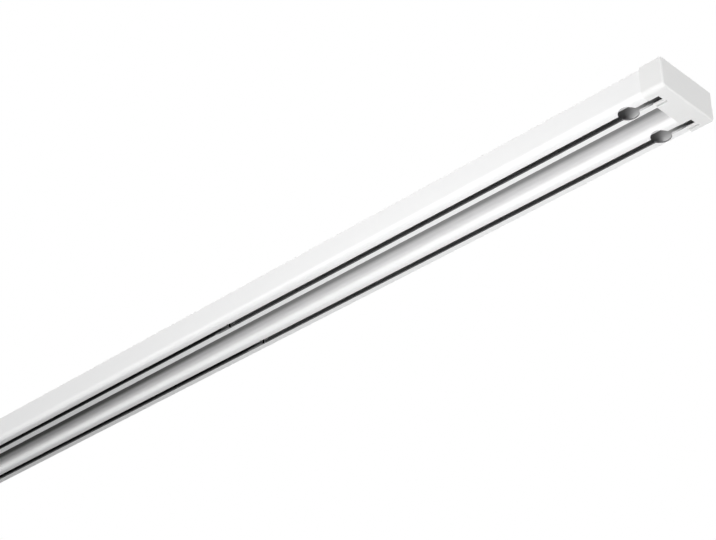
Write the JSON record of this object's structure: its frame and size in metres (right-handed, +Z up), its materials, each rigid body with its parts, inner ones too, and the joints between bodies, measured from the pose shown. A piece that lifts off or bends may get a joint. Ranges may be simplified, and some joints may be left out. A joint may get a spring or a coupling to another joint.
{
  "type": "curtain track",
  "caption": "White two-channel ceiling curtain track in joined lengths, slotted underneath, with keyholes, clip-on end caps and sliding gliders.",
  "frame": {"origin": "middle of the track's top face, on the ceiling plane, at mid length and mid width", "axes": "+X along the track towards the end with the keyholes, +Y from the rounded front to the back, +Z up into the ceiling"},
  "size_m": [1.2036, 0.0532, 0.0324],
  "materials": {
    "white_coating": "white powder coat, satin to gloss",
    "cap_plastic": "moulded white plastic",
    "glider_nylon": "moulded white nylon",
    "connector_steel": "zinc plated",
    "screw_steel": "plain steel"
  },
  "bodies": {
    "track": {"rail_left": "white_coating", "rail_middle": "white_coating", "rail_right": "white_coating", "connector_front_left": "connector_steel", "connector_front_right": "connector_steel", "connector_back_left": "connector_steel", "connector_back_right": "connector_steel", "grub_screws_left": "screw_steel", "grub_screws_right": "screw_steel", "end_cap_left": "cap_plastic", "end_cap_right": "cap_plastic"},
    "glider_front_1": {"glider_front_1": "glider_nylon"},
    "glider_front_2": {"glider_front_2": "glider_nylon"},
    "glider_front_3": {"glider_front_3": "glider_nylon"},
    "glider_front_4": {"glider_front_4": "glider_nylon"},
    "glider_front_5": {"glider_front_5": "glider_nylon"},
    "glider_front_6": {"glider_front_6": "glider_nylon"},
    "glider_front_7": {"glider_front_7": "glider_nylon"},
    "glider_front_8": {"glider_front_8": "glider_nylon"},
    "glider_back_1": {"glider_back_1": "glider_nylon"},
    "glider_back_2": {"glider_back_2": "glider_nylon"},
    "glider_back_3": {"glider_back_3": "glider_nylon"},
    "glider_back_4": {"glider_back_4": "glider_nylon"},
    "glider_back_5": {"glider_back_5": "glider_nylon"},
    "glider_back_6": {"glider_back_6": "glider_nylon"},
    "glider_back_7": {"glider_back_7": "glider_nylon"},
    "glider_back_8": {"glider_back_8": "glider_nylon"}
  },
  "joints": [
    {"name": "slide_front_1", "type": "slide", "parent": "track", "child": "glider_front_1", "axis": [1, 0, 0], "range_m": [0, 0.132]},
    {"name": "slide_front_2", "type": "slide", "parent": "glider_front_1", "child": "glider_front_2", "axis": [1, 0, 0], "range_m": [0, 0.132]},
    {"name": "slide_front_3", "type": "slide", "parent": "glider_front_2", "child": "glider_front_3", "axis": [1, 0, 0], "range_m": [0, 0.132]},
    {"name": "slide_front_4", "type": "slide", "parent": "glider_front_3", "child": "glider_front_4", "axis": [1, 0, 0], "range_m": [0, 0.132]},
    {"name": "slide_front_5", "type": "slide", "parent": "glider_front_4", "child": "glider_front_5", "axis": [1, 0, 0], "range_m": [0, 0.132]},
    {"name": "slide_front_6", "type": "slide", "parent": "glider_front_5", "child": "glider_front_6", "axis": [1, 0, 0], "range_m": [0, 0.132]},
    {"name": "slide_front_7", "type": "slide", "parent": "glider_front_6", "child": "glider_front_7", "axis": [1, 0, 0], "range_m": [0, 0.132]},
    {"name": "slide_front_8", "type": "slide", "parent": "glider_front_7", "child": "glider_front_8", "axis": [1, 0, 0], "range_m": [0, 0.132]},
    {"name": "slide_back_1", "type": "slide", "parent": "track", "child": "glider_back_1", "axis": [1, 0, 0], "range_m": [0, 0.132]},
    {"name": "slide_back_2", "type": "slide", "parent": "glider_back_1", "child": "glider_back_2", "axis": [1, 0, 0], "range_m": [0, 0.132]},
    {"name": "slide_back_3", "type": "slide", "parent": "glider_back_2", "child": "glider_back_3", "axis": [1, 0, 0], "range_m": [0, 0.132]},
    {"name": "slide_back_4", "type": "slide", "parent": "glider_back_3", "child": "glider_back_4", "axis": [1, 0, 0], "range_m": [0, 0.132]},
    {"name": "slide_back_5", "type": "slide", "parent": "glider_back_4", "child": "glider_back_5", "axis": [1, 0, 0], "range_m": [0, 0.132]},
    {"name": "slide_back_6", "type": "slide", "parent": "glider_back_5", "child": "glider_back_6", "axis": [1, 0, 0], "range_m": [0, 0.132]},
    {"name": "slide_back_7", "type": "slide", "parent": "glider_back_6", "child": "glider_back_7", "axis": [1, 0, 0], "range_m": [0, 0.132]},
    {"name": "slide_back_8", "type": "slide", "parent": "glider_back_7", "child": "glider_back_8", "axis": [1, 0, 0], "range_m": [0, 0.132]}
  ]
}
